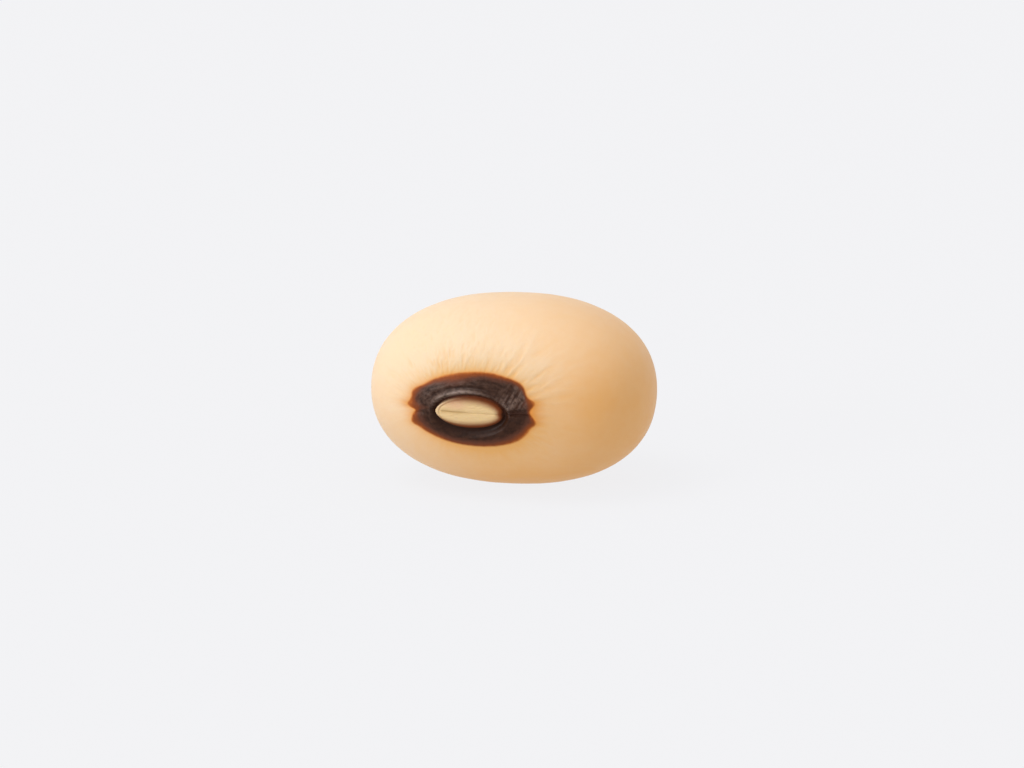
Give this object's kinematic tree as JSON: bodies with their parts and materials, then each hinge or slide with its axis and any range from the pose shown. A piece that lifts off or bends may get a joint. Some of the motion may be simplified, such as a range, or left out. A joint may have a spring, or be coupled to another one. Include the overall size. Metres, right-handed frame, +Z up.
{
  "type": "cowpea seed",
  "caption": "Single dry black-eyed cowpea seed: a blunt bean form with a dark ring round its scar, lying on a small flat on its side.",
  "frame": {"origin": "middle of the seed's footprint, on the surface it rests on", "axes": "+Z up, +X along the seed's long axis towards its fuller end, -Y out of the eye"},
  "size_m": [0.009, 0.0068, 0.0059],
  "materials": {
    "seed_coat": "satin"
  },
  "bodies": {
    "root": {"seed": "seed_coat"}
  },
  "joints": []
}
